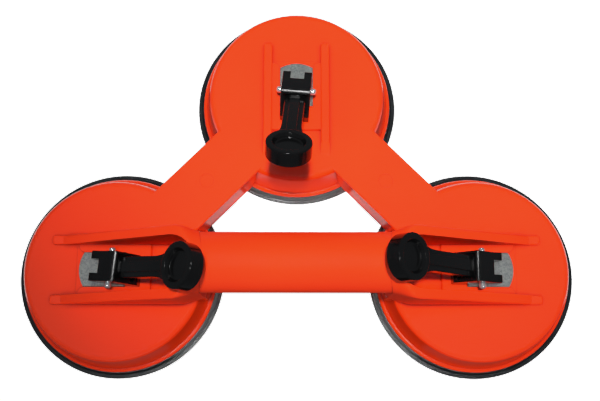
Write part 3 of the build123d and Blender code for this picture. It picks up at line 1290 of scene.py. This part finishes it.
@dataclass
class Studio:
    """White floor with hidden cards, lamps, a faint fill from all round, and the camera."""

    floor_size: float = 60.0
    floor_colour: Colour = (0.3, 0.3, 0.3)
    floor_glow: float = 1.85
    mirror_size: Pair = (85 * MM, 170 * MM)
    mirror_shift: float = 57.5 * MM
    mirror_aside: float = 25 * MM
    mirror_outwards: float = 0.5
    mirror_height: float = 0.3 * MM
    mirror_glow: float = 1.5
    mirror_pieces: tuple[str, ...] = ("frame",)
    strip_size: Pair = (51 * MM, 12 * MM)
    strip_place: Point = (43.7 * MM, -26.1 * MM, 0.4 * MM)
    strip_turn: float = 45.0
    strip_glow: float = 0.5
    bounce: Card = Card(
        "bounce_card", (72 * MM, 42 * MM), (0.0, -9 * MM, 0.5 * MM), 3.4, mirrored=False
    )
    sheet: Card = Card("rubber_sheet", (136 * MM, 170 * MM), (0.0, -55 * MM, 0.2 * MM), 2.2)
    fill_colour: Colour = (0.92, 1.0, 1.06)
    fill_front: float = 0.16
    fill_back: float = 0.22
    fill_fade: Pair = (-0.6, 0.4)
    fill_gloss: float = 0.5
    key_place: Point = (0.02, -0.03, 1.75)
    key_aim: Point = (0.05, 0.06, 0.0)
    key_cone: float = 18.4
    key_blend: float = 1.0
    key_radius: float = 0.07
    key_power: float = 215.0
    front_place: Point = (0.0, -1.0, 0.42)
    front_size: float = 0.8
    front_power: float = 3.0
    glints: tuple[Glint, ...] = (
        Glint("glint", (0.0, 0.20, 1.6), 0.06, 7.0),
        Glint("glint", (-0.03, -0.27, 1.6), 0.07, 12.0),
    )
    lever_glint: Glint = Glint("lever_glint", (0.0, 0.20, 1.6), 0.10, 22.0)
    lever_pieces: tuple[str, ...] = (
        "cam_lever_left",
        "cam_lever_top",
        "lever_pin_left",
        "lever_pin_top",
    )
    film_white: float = 1.85
    film_curve: int = 3
    film: tuple[Pair, ...] = (
        (0.1, 0.1),
        (0.3, 0.3),
        (0.6, 0.585),
        (0.85, 0.77),
        (1.1, 0.835),
        (1.5, 0.865),
        (1.75, 0.885),
    )
    camera_place: Point = (2.74 * MM, -109.1 * MM, 505.3 * MM)
    camera_turn: Point = (11.507, 0.058, 0.060)
    camera_near: float = 10 * MM
    lens: float = 50.93
    sensor: float = 36.0

    def build(self) -> None:
        """Set up everything round the object."""
        self.build_floor()
        self.lay_mirrors()
        self.lay_cards()
        self.build_sky()
        self.add_key()
        self.add_front()
        self.add_glints()
        self.add_camera()
        self.set_film()

    def build_floor(self) -> None:
        """Lay the floor, which the object neither mirrors nor gets light from."""
        clear_selection()
        bpy.ops.mesh.primitive_plane_add(size=self.floor_size)
        floor = take("floor")
        glow = Glow("pale_floor", self.floor_colour, self.floor_glow)
        floor.data.materials.append(glow.make())
        floor.visible_glossy = False
        floor.visible_diffuse = False

    def lay_mirrors(self) -> None:
        """Lay the patches of white floor that the frame mirrors behind each cup."""
        for cup in Cup.all():
            outwards = Matrix.Rotation(cup.outwards(), 3, "Z") @ Vector((1, 0, 0))
            away = (outwards * self.mirror_outwards + Vector((0, 1, 0))).normalized()
            aside = Vector((away.y, -away.x, 0)) * round(outwards.x)
            middle = Vector((cup.pivot.x, cup.pivot.y, self.mirror_height))
            middle += away * self.mirror_shift + aside * self.mirror_aside
            name, turn = f"mirror_card_{cup.name}", atan2(away.y, away.x)
            card = Card(name, self.mirror_size, tuple(middle), self.mirror_glow, turn)
            light_only(card.lay(), self.mirror_pieces)

    def lay_cards(self) -> None:
        """Lay the strips that the arms mirror, the light between them and the rubber's sheet."""
        x, y, z = self.strip_place
        for side in (-1, 1):
            turn = radians(-side * self.strip_turn)
            Card("strip_card", self.strip_size, (side * x, y, z), self.strip_glow, turn).lay()
        self.bounce.lay()
        light_only(self.sheet.lay(), [f"suction_cup_{cup.name}" for cup in Cup.all()])

    def build_sky(self) -> None:
        """Light the scene faintly from all round, more from behind the object than in front."""
        bench = ShaderBench(bpy.data.worlds.new("studio"))
        direction = bench.node("TexCoord", outlet="Generated")
        depth = bench.node("SeparateXYZ", outlet="Y", Vector=direction)
        fill = bench.between(depth, *self.fill_fade, self.fill_front, self.fill_back)
        glossy = bench.node("LightPath", outlet="Is Glossy Ray")
        strength = fill * bench.between(glossy, 0.0, 1.0, 1.0, self.fill_gloss)
        bpy.context.scene.world = bench.sky(Color=self.fill_colour, Strength=strength)

    def add_key(self) -> None:
        """Hang the lamp over the object."""
        bpy.ops.object.light_add(type="SPOT", location=self.key_place)
        key = take("key")
        beam = Vector(self.key_aim) - Vector(self.key_place)
        key.rotation_euler = beam.to_track_quat("-Z", "Y").to_euler()
        key.data.spot_size = radians(self.key_cone)
        key.data.spot_blend = self.key_blend
        key.data.shadow_soft_size = self.key_radius
        key.data.energy = self.key_power
        key.visible_glossy = False

    def add_front(self) -> None:
        """Stand a wide weak lamp low in front, for the walls that the key only grazes."""
        bpy.ops.object.light_add(type="AREA", location=self.front_place)
        front = take("front")
        front.rotation_euler = (-Vector(self.front_place)).to_track_quat("-Z", "Y").to_euler()
        front.data.size = self.front_size
        front.data.energy = self.front_power
        front.visible_glossy = False

    def add_glints(self) -> None:
        """Hang the lamps that show only as glints on polished edges."""
        for glint in self.glints:
            glint.hang()
        light_only(self.lever_glint.hang(), self.lever_pieces)

    def add_camera(self) -> None:
        """Place the camera where the photograph was taken from."""
        turn = [radians(angle) for angle in self.camera_turn]
        bpy.ops.object.camera_add(location=self.camera_place, rotation=turn)
        camera = take("camera")
        camera.data.lens = self.lens
        camera.data.sensor_width = self.sensor
        camera.data.clip_start = self.camera_near
        bpy.context.scene.camera = camera

    def set_film(self) -> None:
        """Let bright colours run into white softly, as the photograph does."""
        view = bpy.context.scene.view_settings
        view.view_transform = "Standard"
        view.use_curve_mapping = True
        curves = view.curve_mapping
        curves.white_level = (self.film_white, self.film_white, self.film_white)
        for light, shown in self.film:
            curves.curves[self.film_curve].points.new(light / self.film_white, shown)
        curves.update()


def main() -> None:
    """Build the finishes, the pieces and the studio."""
    logging.basicConfig(level=logging.INFO, format="%(name)s: %(message)s")
    finishes = Finishes()
    finishes.dress_nodes()
    Lifter(finishes).build()
    Studio().build()


if __name__ == "__main__":
    main()
